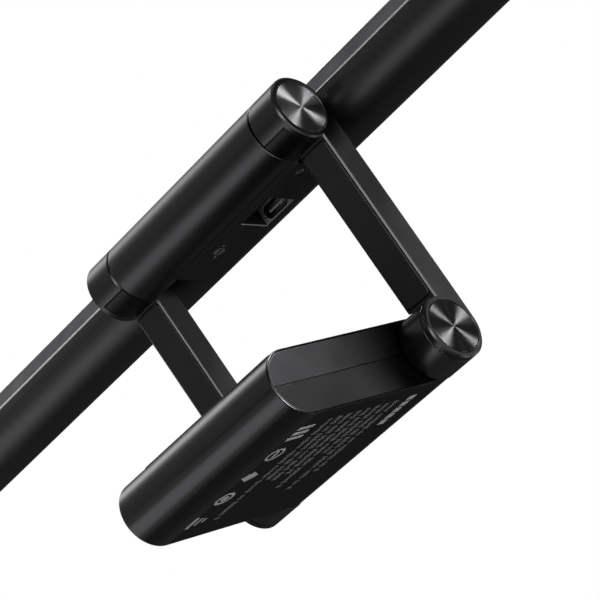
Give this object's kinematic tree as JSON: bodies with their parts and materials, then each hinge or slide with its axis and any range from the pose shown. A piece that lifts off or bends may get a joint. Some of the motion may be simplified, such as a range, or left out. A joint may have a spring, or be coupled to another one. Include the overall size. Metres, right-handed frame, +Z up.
{
  "type": "monitor light bar",
  "caption": "Monitor light bar: a tubular lamp on a tilting barrel, with padded arms that rest on the screen's top edge and a hinged counterweight behind it.",
  "frame": {"origin": "midway between the two arms, level with the undersides of their pads and just behind the barrel, where the monitor's top front edge lies", "axes": "+X along the light bar, +Y rearward over the monitor along the arms, +Z up"},
  "size_m": [0.45, 0.0891, 0.0911],
  "materials": {
    "anodised_black": "satin black anodised aluminium tube",
    "arm_black": "satin black coated die-cast alloy",
    "matt_black_plastic": "matt black moulded plastic",
    "dark_silicone": "matt dark grey silicone",
    "brushed_disc": "dark grey aluminium, turned with fine circular grooves",
    "smoked_diffuser": "smoked frosted diffuser, unlit",
    "touch_gloss": "gloss black touch strip",
    "plain_steel": "plain steel",
    "plain_aluminium": "plain extruded aluminium",
    "white_circuit_board": "white solder mask",
    "grey_bush": "grey acetal",
    "port_shell": "stamped steel shell",
    "port_tongue": "dark moulded tongue"
  },
  "bodies": {
    "arm_frame": {"arm_left": "arm_black", "arm_right": "arm_black", "knuckle_cover_left": "arm_black", "knuckle_cover_right": "arm_black", "arm_pad_left": "dark_silicone", "arm_pad_right": "dark_silicone", "disc_front_left": "brushed_disc", "disc_front_right": "brushed_disc", "disc_rear_left": "brushed_disc", "disc_rear_right": "brushed_disc", "tilt_axle": "plain_steel", "rear_hinge_pin_left": "plain_steel", "rear_hinge_pin_right": "plain_steel"},
    "light_head": {"barrel_sleeve": "anodised_black", "friction_sleeve_left": "grey_bush", "friction_sleeve_right": "grey_bush", "bracket_housing": "matt_black_plastic", "bracket_screw": "plain_steel", "usb_c_shell": "port_shell", "usb_c_tongue": "port_tongue", "bar_tube": "anodised_black", "diffuser_lens": "smoked_diffuser", "led_strip": "white_circuit_board", "led_rail": "plain_aluminium", "control_board": "white_circuit_board", "touch_panel": "touch_gloss", "end_cap_left": "matt_black_plastic", "end_cap_right": "matt_black_plastic"},
    "counterweight": {"weight_sleeve": "anodised_black", "weight_cap_front_left": "matt_black_plastic", "weight_cap_front_right": "matt_black_plastic", "weight_cap_rear_left": "matt_black_plastic", "weight_cap_rear_right": "matt_black_plastic", "hinge_stub_left": "anodised_black", "hinge_stub_right": "anodised_black", "steel_weight": "plain_steel", "weight_grip_pad": "dark_silicone"}
  },
  "joints": [
    {"name": "head_tilt", "type": "hinge", "parent": "arm_frame", "child": "light_head", "pos_m": [0, -0.0095, -0.0005], "axis": [1, 0, 0], "range_deg": [-8, 45]},
    {"name": "counterweight_swing", "type": "hinge", "parent": "arm_frame", "child": "counterweight", "pos_m": [0, 0.0607, -0.0006], "axis": [1, 0, 0], "range_deg": [-78, 90]}
  ]
}
